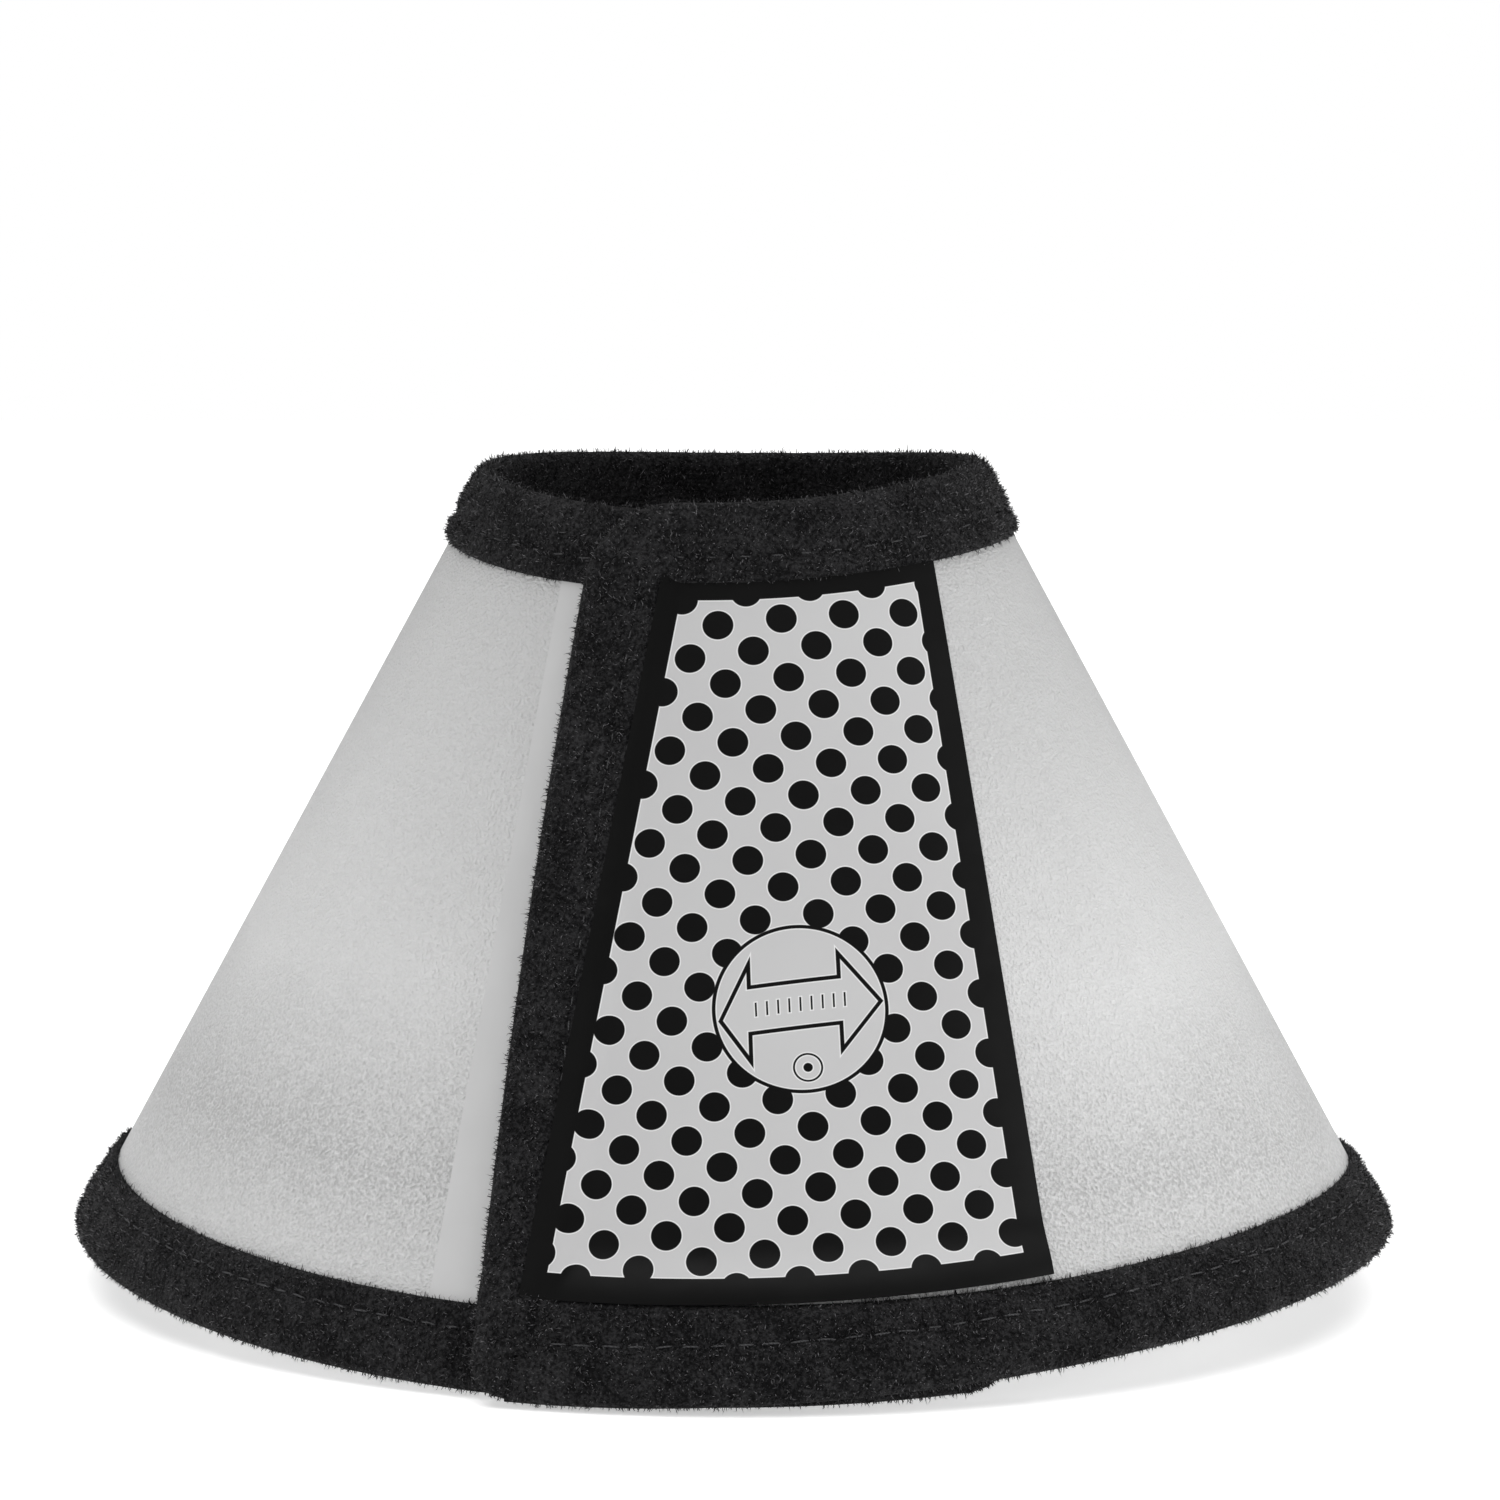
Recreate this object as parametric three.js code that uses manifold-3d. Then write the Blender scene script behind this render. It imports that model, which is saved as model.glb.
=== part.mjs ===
// Elizabethan collar for a cat or small dog. One frosted plastic sheet, cut as a ring sector, is
// rolled a little more than once round into a cone that stands on its wide rim. Fleece tape is
// folded over every edge and sewn down. The free end of the roll is a flap at the front, with a
// printed label outside and a loop patch inside, and it fastens on a hook patch on the inner end.
//
// Millimetres and degrees, +Z up. The cone's axis is upright, the floor is z = 0 and the flap is
// at the front, towards -Y. A place on the sheet is given by its wrap angle, seen from above
// (0 at the front, 90 at +X, 180 at the back, and past 360 in the inner layer), its slant, which
// is the distance from the cone's point, and its offset outwards from the middle of the sheet.
import * as THREE from 'three';
import Module from 'manifold-3d';

// Cone
const SIDE_HALF_ANGLE = 28.45;
const FRONT_HALF_ANGLE = 24.05;
const SECTION_TURN = -10;
const NECK_SLANT = 86;
const SHEET_WIDTH = 144.5;
const SHEET_THICKNESS = 0.6;

// Ends of the sheet and the lines along which it flexes, as wrap angles
const FLAP_END = -23.65;
const FLAP_FLEX = 51;
const RIGHT_FLEX = 100;
const LEFT_FLEX = 240;
const INNER_END = 383.5;
const FLAP_SKEW = 5.3;
const SKEW_FADES_AT = 20;

// How far the rim is cut longer than a true ring at both ends and at the back
const FLAP_DROOP = 2;
const INNER_DROOP = 1;
const BACK_DROOP = 1.8;
const DROOP_SPREAD = 60;
const REST_FLAT = 0.8;

// Rounded corners of the sheet
const RIM_CORNER = 5;
const INNER_RIM_CORNER = 9;

// Fleece tape, its stitching and the clearances
const TAPE_WIDTH = 12.2;
const TAPE_THICKNESS = 1.3;
const FIT = 0.3;
const SLIDE_CLEARANCE = 0.9;
const TAPE_FLEX_GAP = 3;
const SHEET_FLEX_GAP = 1;
const STITCH_INSET = 8;
const THREAD_WIDTH = 0.6;
const THREAD_HEIGHT = 0.5;
const GROOVE_FLOOR = 0.4;

// Label and hook-and-loop patches
const LABEL_THICKNESS = 0.4;
const LABEL_EDGE_NECK = 42;
const LABEL_EDGE_RIM = 27;
const LOOP_MARGIN = 1.5;
const LOOP_THICKNESS = 1.3;
const HOOK_THICKNESS = 1.3;
const HOOK_EDGE_NECK = 323.2;
const HOOK_EDGE_RIM = 331.8;

// Facets
const COLUMN_STEP = 5;
const CORNER_STEPS = 6;

// Sizes that follow
const RAD = Math.PI / 180;
const SHEET_FACE = SHEET_THICKNESS / 2;
const TAPE_INNER_FACE = SHEET_FACE + FIT;
const TAPE_OUTER_FACE = TAPE_INNER_FACE + TAPE_THICKNESS;
const TAPE_FOLD = FIT + TAPE_THICKNESS;
const LAYER_SPACING = 2 * TAPE_OUTER_FACE + SLIDE_CLEARANCE;
const NECK_CORNER = TAPE_WIDTH - 1;
const RIM_SLANT = NECK_SLANT + SHEET_WIDTH;
const NECK_TAPE_EDGE = NECK_SLANT + TAPE_WIDTH;
const RIM_TAPE_EDGE = RIM_SLANT - TAPE_WIDTH;
const THREAD_FLOOR = TAPE_INNER_FACE + GROOVE_FLOOR + FIT;

const wasm = await Module();
wasm.setup();

// ---------------------------------------------------------------- the cone as a surface

function smoothstep(value) {
  const t = Math.min(Math.max(value, 0), 1);
  return t * t * (3 - 2 * t);
}

function between(a, b, share) {
  return a + (b - a) * share;
}

// The line down the cone at one wrap angle: the cross-section is an ellipse, turned a little.
function generator(wrap) {
  const angle = (wrap - SECTION_TURN) * RAD;
  const turn = SECTION_TURN * RAD;
  const side = Math.tan(SIDE_HALF_ANGLE * RAD);
  const front = Math.tan(FRONT_HALF_ANGLE * RAD);
  const place = new THREE.Vector2(side * Math.sin(angle), -front * Math.cos(angle));
  const change = new THREE.Vector2(side * Math.cos(angle), front * Math.sin(angle));
  place.rotateAround(new THREE.Vector2(), turn);
  change.rotateAround(new THREE.Vector2(), turn);
  const down = new THREE.Vector3(place.x, place.y, -1);
  const outward = new THREE.Vector3().crossVectors(down, new THREE.Vector3(change.x, change.y, 0));
  const turnRate = outward.length() / down.lengthSq() * RAD;
  return { down: down.normalize(), outward: outward.normalize(), turnRate };
}

// The wrap angle reached by going a distance round the cone at one slant.
function goRound(wrap, slant, distance) {
  const first = wrap + distance / (slant * generator(wrap).turnRate);
  return wrap + distance / (slant * generator((wrap + first) / 2).turnRate);
}

// The distance round the cone from one wrap angle to another, at one slant.
function distanceRound(from, to, slant) {
  return (to - from) * slant * generator((from + to) / 2).turnRate;
}

// The flap lies outside the inner end, so the sheet's middle spirals in as it wraps.
function layerOffset(wrap) {
  const innerLayer = 360 + SECTION_TURN - 35;
  return LAYER_SPACING * (0.5 - smoothstep((wrap - FLAP_FLEX) / (innerLayer - FLAP_FLEX)));
}

// The flap's cut end is not quite a line to the cone's point, so the flap is skewed towards it.
function skewedWrap(wrap, slant) {
  const share = (slant - NECK_SLANT) / SHEET_WIDTH - 0.5;
  const fade = 1 - smoothstep((wrap - FLAP_END) / (SKEW_FADES_AT - FLAP_END));
  return wrap + FLAP_SKEW * share * fade;
}

function rimDroop(wrap) {
  const flap = FLAP_DROOP * (1 - smoothstep((wrap - FLAP_END) / DROOP_SPREAD));
  const inner = INNER_DROOP * smoothstep((wrap - INNER_END) / DROOP_SPREAD + 1);
  const back = 180 + SECTION_TURN;
  const rear = BACK_DROOP * (1 - smoothstep(Math.abs(wrap - back) / DROOP_SPREAD));
  return flap + inner + rear;
}

// How far a rounded corner pulls an edge in, at a distance from the sheet's end.
function cornerCut(distance, radius) {
  const inside = radius - Math.min(Math.max(distance, 0), radius);
  return radius - Math.sqrt(radius * radius - inside * inside);
}

function neckEdge(wrap, grow = 0) {
  const radius = NECK_CORNER + grow;
  const flap = distanceRound(FLAP_END, wrap, NECK_SLANT + radius) + grow;
  const inner = distanceRound(wrap, INNER_END, NECK_SLANT + radius) + grow;
  return NECK_SLANT - grow + cornerCut(flap, radius) + cornerCut(inner, radius);
}

function rimEdge(wrap, grow = 0) {
  const flap = distanceRound(FLAP_END, wrap, RIM_SLANT) + grow;
  const inner = distanceRound(wrap, INNER_END, RIM_SLANT) + grow;
  const cut = cornerCut(flap, RIM_CORNER + grow) + cornerCut(inner, INNER_RIM_CORNER + grow);
  return RIM_SLANT + rimDroop(wrap) + grow - cut;
}

// The cone's point stands where the middle of the box's foot is the origin, and where the rim's
// lowest fold is pressed flat by REST_FLAT.
function conePoint() {
  const box = new THREE.Box3();
  for (let wrap = FLAP_END; wrap <= INNER_END; wrap += 1) {
    const { down, outward } = generator(wrap);
    for (const face of [-TAPE_OUTER_FACE, TAPE_OUTER_FACE]) {
      const corner = down.clone().multiplyScalar(rimEdge(wrap, TAPE_FOLD));
      box.expandByPoint(corner.addScaledVector(outward, layerOffset(wrap) + face));
    }
  }
  const middle = box.getCenter(new THREE.Vector3());
  return new THREE.Vector3(-middle.x, -middle.y, -box.min.z - REST_FLAT);
}

const CONE_POINT = conePoint();

function onSheet(wrap, slant, offset) {
  const { down, outward } = generator(skewedWrap(wrap, slant));
  const point = down.multiplyScalar(slant);
  point.addScaledVector(outward, layerOffset(wrap) + offset);
  return point.add(CONE_POINT);
}

// ---------------------------------------------------------------- solids on the sheet

// Wrap angles of the facet edges: every COLUMN_STEP, closer together at a rounded corner.
function columns(from, to) {
  const stops = [from, to];
  for (let wrap = Math.ceil(from / COLUMN_STEP) * COLUMN_STEP; wrap < to; wrap += COLUMN_STEP) {
    stops.push(wrap);
  }
  for (let step = 0; step <= CORNER_STEPS; step += 1) {
    const inset = NECK_CORNER * (1 - Math.cos(step / CORNER_STEPS * Math.PI / 2));
    stops.push(goRound(FLAP_END, NECK_SLANT + NECK_CORNER, inset));
    stops.push(goRound(INNER_END, NECK_SLANT + NECK_CORNER, -inset));
  }
  const inside = stops.filter((wrap) => wrap >= from && wrap <= to).sort((a, b) => a - b);
  return inside.filter((wrap, i) => i === 0 || i === inside.length - 1 || wrap - inside[i - 1] > 0.4);
}

// A closed plate that follows the sheet. from and to give its sides as wrap angles that may
// depend on the slant; low and high give its edges as slants that may depend on the wrap angle.
function plate({ from, to, low, high, inside, outside, rows = 1 }) {
  const middle = (NECK_SLANT + RIM_SLANT) / 2;
  const stops = columns(from(middle), to(middle));
  const width = stops.length;
  const share = stops.map((stop) => (stop - stops[0]) / (stops[width - 1] - stops[0]));
  const points = [];
  for (const offset of [inside, outside]) {
    for (let row = 0; row <= rows; row += 1) {
      for (let i = 0; i < width; i += 1) {
        const guess = between(low(stops[i]), high(stops[i]), row / rows);
        const wrap = between(from(guess), to(guess), share[i]);
        const slant = between(low(wrap), high(wrap), row / rows);
        points.push(onSheet(wrap, slant, offset));
      }
    }
  }
  const layer = width * (rows + 1);
  const faces = [];
  const quad = (a, b, c, d) => faces.push(a, b, c, a, c, d);
  for (let row = 0; row < rows; row += 1) {
    for (let i = 0; i < width - 1; i += 1) {
      const a = row * width + i;
      quad(a, a + 1, a + 1 + width, a + width);
      quad(a + layer, a + width + layer, a + 1 + width + layer, a + 1 + layer);
    }
    const start = row * width;
    const end = start + width - 1;
    quad(start, start + width, start + width + layer, start + layer);
    quad(end, end + layer, end + width + layer, end + width);
  }
  for (let i = 0; i < width - 1; i += 1) {
    const top = i;
    const bottom = rows * width + i;
    quad(top, top + layer, top + 1 + layer, top + 1);
    quad(bottom, bottom + 1, bottom + 1 + layer, bottom + layer);
  }
  const vertProperties = new Float32Array(points.flatMap((point) => point.toArray()));
  return new wasm.Manifold(new wasm.Mesh({ numProp: 3, vertProperties, triVerts: new Uint32Array(faces) }));
}

function toGeometry(solid) {
  const { vertProperties, triVerts } = solid.getMesh();
  const geometry = new THREE.BufferGeometry();
  geometry.setAttribute('position', new THREE.BufferAttribute(new Float32Array(vertProperties), 3));
  geometry.setIndex(new THREE.BufferAttribute(new Uint32Array(triVerts), 1));
  geometry.computeVertexNormals();
  return geometry;
}

const collar = new THREE.Group();

function addPiece(name, solid, material) {
  const mesh = new THREE.Mesh(toGeometry(solid), material.clone());
  mesh.name = name;
  collar.add(mesh);
}

// ---------------------------------------------------------------- materials

const frostedPlastic = new THREE.MeshStandardMaterial({ color: 0xc9cacc, roughness: 0.45, metalness: 0 });
const fleece = new THREE.MeshStandardMaterial({ color: 0x17171a, roughness: 1, metalness: 0 });
const thread = new THREE.MeshStandardMaterial({ color: 0x0c0c0e, roughness: 0.7, metalness: 0 });
const glossyFilm = new THREE.MeshStandardMaterial({ color: 0xc4c4c8, roughness: 0.2, metalness: 0 });
const loopFabric = new THREE.MeshStandardMaterial({ color: 0x111113, roughness: 1, metalness: 0 });
const clearHook = new THREE.MeshStandardMaterial({ color: 0xd8dadb, roughness: 0.5, metalness: 0 });

// ---------------------------------------------------------------- panels of the rolled sheet

// Each panel of the sheet runs between two stops: a cut end, or a flex line with a gap on it.
const PANELS = [
  { name: 'flap', start: FLAP_END, stop: FLAP_FLEX },
  { name: 'right', start: FLAP_FLEX, stop: RIGHT_FLEX },
  { name: 'back', start: RIGHT_FLEX, stop: LEFT_FLEX },
  { name: 'inner_end', start: LEFT_FLEX, stop: INNER_END },
];

// A panel's two sides. At a cut end the side stands out by grow, and at a flex line it stays
// half the gap away from the line.
function panelSides({ start, stop }, gap, grow) {
  const startShift = start === FLAP_END ? -grow : gap / 2;
  const stopShift = stop === INNER_END ? grow : -gap / 2;
  return {
    from: (slant) => goRound(start, slant, startShift),
    to: (slant) => goRound(stop, slant, stopShift),
  };
}

// The slot inside a folded tape, which the sheet's edge fills but for the clearance.
const POCKET_OVERRUN = 6;

function pocket(sides, low, high) {
  return plate({ ...sides, low, high, inside: -TAPE_INNER_FACE, outside: TAPE_INNER_FACE });
}

// A stitched row sinks into the outer leg of the tape, so it has a groove a little wider than it.
function stitchRow(sides, middleSlant, halfWidth, floor, top) {
  const low = (wrap) => middleSlant(wrap) - halfWidth;
  const high = (wrap) => middleSlant(wrap) + halfWidth;
  return plate({ ...sides, low, high, inside: floor, outside: top });
}

const GROOVE_HALF_WIDTH = THREAD_WIDTH / 2 + FIT;
const GROOVE_TOP = TAPE_OUTER_FACE + 1;

// Sides of a stitched row: the thread stops FIT before the tape does, and clear of a cut end.
function rowSides(panel, short) {
  const startShift = panel.start === FLAP_END ? STITCH_INSET - short : TAPE_FLEX_GAP / 2 - short;
  const stopShift = panel.stop === INNER_END ? short - STITCH_INSET : short - TAPE_FLEX_GAP / 2;
  return {
    from: (slant) => goRound(panel.start, slant, startShift),
    to: (slant) => goRound(panel.stop, slant, stopShift),
  };
}

const neckRow = () => NECK_SLANT + STITCH_INSET;
const rimRow = (wrap) => RIM_SLANT + rimDroop(wrap) - STITCH_INSET;
const rimTapeEdge = (wrap) => RIM_TAPE_EDGE + rimDroop(wrap);

function addSheet(panel) {
  const sides = panelSides(panel, SHEET_FLEX_GAP, 0);
  const solid = plate({ ...sides, low: neckEdge, high: rimEdge, inside: -SHEET_FACE, outside: SHEET_FACE });
  addPiece(`cone_sheet_${panel.name}`, solid, frostedPlastic);
}

function addNeckTape(panel) {
  const block = plate({
    ...panelSides(panel, TAPE_FLEX_GAP, TAPE_FOLD),
    low: (wrap) => neckEdge(wrap, TAPE_FOLD),
    high: () => NECK_TAPE_EDGE,
    inside: -TAPE_OUTER_FACE,
    outside: TAPE_OUTER_FACE,
  });
  const slot = pocket(
    panelSides(panel, -POCKET_OVERRUN, FIT),
    (wrap) => neckEdge(wrap, FIT),
    () => NECK_TAPE_EDGE + POCKET_OVERRUN,
  );
  const groove = stitchRow(
    rowSides(panel, FIT + 1), neckRow, GROOVE_HALF_WIDTH, THREAD_FLOOR - FIT, GROOVE_TOP);
  addPiece(`neck_binding_${panel.name}`, block.subtract(slot).subtract(groove), fleece);
  const row = stitchRow(
    rowSides(panel, -FIT), neckRow, THREAD_WIDTH / 2, THREAD_FLOOR, THREAD_FLOOR + THREAD_HEIGHT);
  addPiece(`neck_stitching_${panel.name}`, row, thread);
}

// Everything under the floor, to press the rim's fold flat where it stands.
function underFloor() {
  const reach = 4 * RIM_SLANT;
  const box = new THREE.BoxGeometry(reach, reach, reach).toNonIndexed();
  const corners = [];
  const seen = new Map();
  const faces = [];
  const position = box.getAttribute('position');
  for (let i = 0; i < position.count; i += 1) {
    const corner = [position.getX(i), position.getY(i), position.getZ(i) - reach / 2];
    const key = corner.join(' ');
    if (!seen.has(key)) {
      seen.set(key, seen.size);
      corners.push(...corner);
    }
    faces.push(seen.get(key));
  }
  const vertProperties = new Float32Array(corners);
  return new wasm.Manifold(new wasm.Mesh({ numProp: 3, vertProperties, triVerts: new Uint32Array(faces) }));
}

const belowFloor = underFloor();

function addRimTape(panel) {
  const block = plate({
    ...panelSides(panel, TAPE_FLEX_GAP, TAPE_FOLD),
    low: rimTapeEdge,
    high: (wrap) => rimEdge(wrap, TAPE_FOLD),
    inside: -TAPE_OUTER_FACE,
    outside: TAPE_OUTER_FACE,
  });
  const slot = pocket(
    panelSides(panel, -POCKET_OVERRUN, FIT),
    (wrap) => rimTapeEdge(wrap) - POCKET_OVERRUN,
    (wrap) => rimEdge(wrap, FIT),
  );
  const groove = stitchRow(
    rowSides(panel, FIT + 1), rimRow, GROOVE_HALF_WIDTH, THREAD_FLOOR - FIT, GROOVE_TOP);
  const tape = block.subtract(slot).subtract(groove).subtract(belowFloor);
  addPiece(`rim_binding_${panel.name}`, tape, fleece);
  const row = stitchRow(
    rowSides(panel, -FIT), rimRow, THREAD_WIDTH / 2, THREAD_FLOOR, THREAD_FLOOR + THREAD_HEIGHT);
  addPiece(`rim_stitching_${panel.name}`, row, thread);
}

for (const panel of PANELS) {
  addSheet(panel);
  addNeckTape(panel);
  addRimTape(panel);
}

// ---------------------------------------------------------------- tape over the two cut ends

// The strip at a cut end between two distances from it, going into the sheet.
function endSides(end, nearest, furthest) {
  const into = end === FLAP_END ? 1 : -1;
  const near = (slant) => goRound(end, slant, into * nearest);
  const far = (slant) => goRound(end, slant, into * furthest);
  return end === FLAP_END ? { from: near, to: far } : { from: far, to: near };
}

const END_ROWS = 4;
const endLow = () => NECK_TAPE_EDGE + FIT;
const endHigh = (wrap) => rimTapeEdge(wrap) - FIT;

function addEndTape(name, end) {
  const block = plate({
    ...endSides(end, -TAPE_FOLD, TAPE_WIDTH),
    low: endLow,
    high: endHigh,
    inside: -TAPE_OUTER_FACE,
    outside: TAPE_OUTER_FACE,
    rows: END_ROWS,
  });
  const slot = plate({
    ...endSides(end, -FIT, TAPE_WIDTH + POCKET_OVERRUN),
    low: (wrap) => endLow(wrap) - POCKET_OVERRUN,
    high: (wrap) => endHigh(wrap) + POCKET_OVERRUN,
    inside: -TAPE_INNER_FACE,
    outside: TAPE_INNER_FACE,
    rows: END_ROWS,
  });
  const groove = plate({
    ...endSides(end, STITCH_INSET - GROOVE_HALF_WIDTH, STITCH_INSET + GROOVE_HALF_WIDTH),
    low: (wrap) => endLow(wrap) - POCKET_OVERRUN,
    high: (wrap) => endHigh(wrap) + POCKET_OVERRUN,
    inside: THREAD_FLOOR - FIT,
    outside: GROOVE_TOP,
    rows: END_ROWS,
  });
  addPiece(`${name}_binding`, block.subtract(slot).subtract(groove), fleece);
  const row = plate({
    ...endSides(end, STITCH_INSET - THREAD_WIDTH / 2, STITCH_INSET + THREAD_WIDTH / 2),
    low: (wrap) => endLow(wrap) + FIT,
    high: (wrap) => endHigh(wrap) - FIT,
    inside: THREAD_FLOOR,
    outside: THREAD_FLOOR + THREAD_HEIGHT,
    rows: END_ROWS,
  });
  addPiece(`${name}_stitching`, row, thread);
}

addEndTape('flap_end', FLAP_END);
addEndTape('inner_end', INNER_END);

// ---------------------------------------------------------------- label and patches

// A straight side that leans: its wrap angle at the neck edge and at the rim edge.
function leaningSide(atNeck, atRim, shift = 0) {
  return (slant) => goRound(between(atNeck, atRim, (slant - NECK_SLANT) / SHEET_WIDTH), slant, shift);
}

const besideFlapTape = endSides(FLAP_END, TAPE_WIDTH + FIT, TAPE_WIDTH + FIT).from;
const besideInnerTape = endSides(INNER_END, TAPE_WIDTH + FIT, TAPE_WIDTH + FIT).to;

addPiece('printed_label', plate({
  from: besideFlapTape,
  to: leaningSide(LABEL_EDGE_NECK, LABEL_EDGE_RIM),
  low: endLow,
  high: endHigh,
  inside: SHEET_FACE + FIT,
  outside: SHEET_FACE + FIT + LABEL_THICKNESS,
  rows: END_ROWS,
}), glossyFilm);

addPiece('loop_patch', plate({
  from: besideFlapTape,
  to: leaningSide(LABEL_EDGE_NECK, LABEL_EDGE_RIM, -LOOP_MARGIN),
  low: endLow,
  high: endHigh,
  inside: -SHEET_FACE - FIT - LOOP_THICKNESS,
  outside: -SHEET_FACE - FIT,
  rows: END_ROWS,
}), loopFabric);

addPiece('hook_patch', plate({
  from: leaningSide(HOOK_EDGE_NECK, HOOK_EDGE_RIM),
  to: besideInnerTape,
  low: endLow,
  high: endHigh,
  inside: SHEET_FACE + FIT,
  outside: SHEET_FACE + FIT + HOOK_THICKNESS,
  rows: END_ROWS,
}), clearHook);

export default collar;
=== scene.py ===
"""The looks of an elizabethan collar: a frosted plastic cone bound with black fleece tape.

Sizes are in millimetres and angles in degrees until a mesh is made, which is in metres. A place on
the collar is first a place on the flat pattern it is cut to, a ring sector round the cone's point:
x to the right and y down from the point, with the flap at the front. It is then rolled up.
"""

import math

import bpy
import numpy as np
from mathutils import Matrix, Vector


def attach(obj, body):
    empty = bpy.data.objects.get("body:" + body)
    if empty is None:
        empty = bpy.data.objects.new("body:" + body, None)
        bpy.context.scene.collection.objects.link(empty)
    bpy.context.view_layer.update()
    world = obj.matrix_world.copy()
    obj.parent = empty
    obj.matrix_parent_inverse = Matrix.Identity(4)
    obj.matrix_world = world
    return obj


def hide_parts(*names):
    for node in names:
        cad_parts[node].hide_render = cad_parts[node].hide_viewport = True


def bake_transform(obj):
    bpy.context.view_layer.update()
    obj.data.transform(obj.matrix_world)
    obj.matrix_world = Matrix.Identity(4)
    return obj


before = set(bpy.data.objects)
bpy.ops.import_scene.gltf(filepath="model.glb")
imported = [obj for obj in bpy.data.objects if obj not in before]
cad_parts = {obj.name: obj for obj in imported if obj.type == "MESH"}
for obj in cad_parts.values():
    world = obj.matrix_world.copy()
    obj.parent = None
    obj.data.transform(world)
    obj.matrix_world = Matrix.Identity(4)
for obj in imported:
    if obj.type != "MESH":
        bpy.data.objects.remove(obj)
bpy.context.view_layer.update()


# ---------------------------------------------------------------------------------------- camera
# It stands a little above the collar with a long lens, and looks slightly down at the flap.

CONE_POINT = np.array([-1.785, 0.965, 213.436])
AIM_BELOW_POINT = 0.1613
CAMERA_DISTANCE = 1.3984
CAMERA_HEIGHT_ANGLE = math.radians(10.796)
LENS = 198.86
TURN_UP = math.radians(1.5605)
TURN_LEFT = math.radians(0.2034)

aim = Vector(CONE_POINT / 1000) - Vector((0, 0, AIM_BELOW_POINT))
backwards = Vector((0, -math.cos(CAMERA_HEIGHT_ANGLE), math.sin(CAMERA_HEIGHT_ANGLE)))
stand = aim + CAMERA_DISTANCE * backwards
ahead = (aim - stand).normalized()
right = Vector((1, 0, 0))
above = right.cross(ahead)
ahead, above = (
    ahead * math.cos(TURN_UP) + above * math.sin(TURN_UP),
    above * math.cos(TURN_UP) - ahead * math.sin(TURN_UP),
)
right, ahead = (
    right * math.cos(TURN_LEFT) - ahead * math.sin(TURN_LEFT),
    ahead * math.cos(TURN_LEFT) + right * math.sin(TURN_LEFT),
)
camera_data = bpy.data.cameras.new("camera")
camera_data.lens = LENS
camera_data.sensor_width = 36
camera_data.clip_start = 0.05
camera = bpy.data.objects.new("camera", camera_data)
camera.matrix_world = Matrix.Translation(stand) @ Matrix((right, above, -ahead)).transposed().to_4x4()
bpy.context.scene.collection.objects.link(camera)
bpy.context.scene.camera = camera


# --------------------------------------------------------------------------------- frosted sheet
# One sheet of frosted plastic 0.6 mm thick, cut as a ring sector with rounded corners and rolled
# a little more than once round. It is smooth outside but for a fine pebble from the mould. It is
# one piece in reality, and four here, so that each bends across one line at most.

SIDE_SLOPE = math.tan(math.radians(28.45))
FRONT_SLOPE = math.tan(math.radians(24.05))
SECTION_TURN = math.radians(-10)
NECK_SLANT = 86.0
RIM_SLANT = 230.5
FLAP_END, INNER_END = -23.65, 383.5
FLAP_SKEW = 5.3
LAYER_SPACING = 4.7
SHEET_FACE = 0.3
NECK_CORNER, RIM_CORNER, INNER_RIM_CORNER = 12.9, 5.0, 9.0
SEAMS = {
    "flap": (FLAP_END, 80),
    "right": (80, 170),
    "left": (170, 260),
    "inner_end": (260, INNER_END),
}
CAD_PANEL = {"flap": "flap", "right": "right", "left": "back", "inner_end": "inner_end"}
COLUMN_WRAP = 0.8


def smoothstep(value):
    """0 below 0 and 1 above 1, with an even slope at both: 3 t squared less 2 t cubed."""
    t = np.clip(value, 0, 1)
    return t * t * (3 - 2 * t)


def generator(wrap):
    """The unit vectors down the cone and out of it, and the sheet's turn per degree of wrap.

    The line down the cone goes one unit down and to a point of an ellipse with half axes
    SIDE_SLOPE and FRONT_SLOPE, turned by SECTION_TURN. The outward vector is that line crossed
    with the ellipse's tangent, and the turn is its length over the line's length squared.
    """
    angle = np.radians(wrap) - SECTION_TURN
    across, along = SIDE_SLOPE * np.sin(angle), -FRONT_SLOPE * np.cos(angle)
    d_across, d_along = SIDE_SLOPE * np.cos(angle), FRONT_SLOPE * np.sin(angle)
    c, s = math.cos(SECTION_TURN), math.sin(SECTION_TURN)
    x, y = c * across - s * along, s * across + c * along
    dx, dy = c * d_across - s * d_along, s * d_across + c * d_along
    down = np.stack([x, y, -np.ones_like(x)], -1)
    outward = np.stack([dy, -dx, x * dy - y * dx], -1)
    length = np.linalg.norm(down, axis=-1, keepdims=True)
    size = np.linalg.norm(outward, axis=-1, keepdims=True)
    turn = size[..., 0] / length[..., 0] ** 2 * math.pi / 180
    return down / length, outward / size, turn


# The sheet's turn on the flat pattern, summed from wrap angle 0, as a table read both ways.
WRAPS = np.arange(-60, 430, 0.05)
TURNS = np.concatenate([[0], np.cumsum(generator(WRAPS)[2][:-1] * 0.05)])
TURNS -= np.interp(0, WRAPS, TURNS)


def turn_at(wrap):
    return np.interp(wrap, WRAPS, TURNS)


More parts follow.
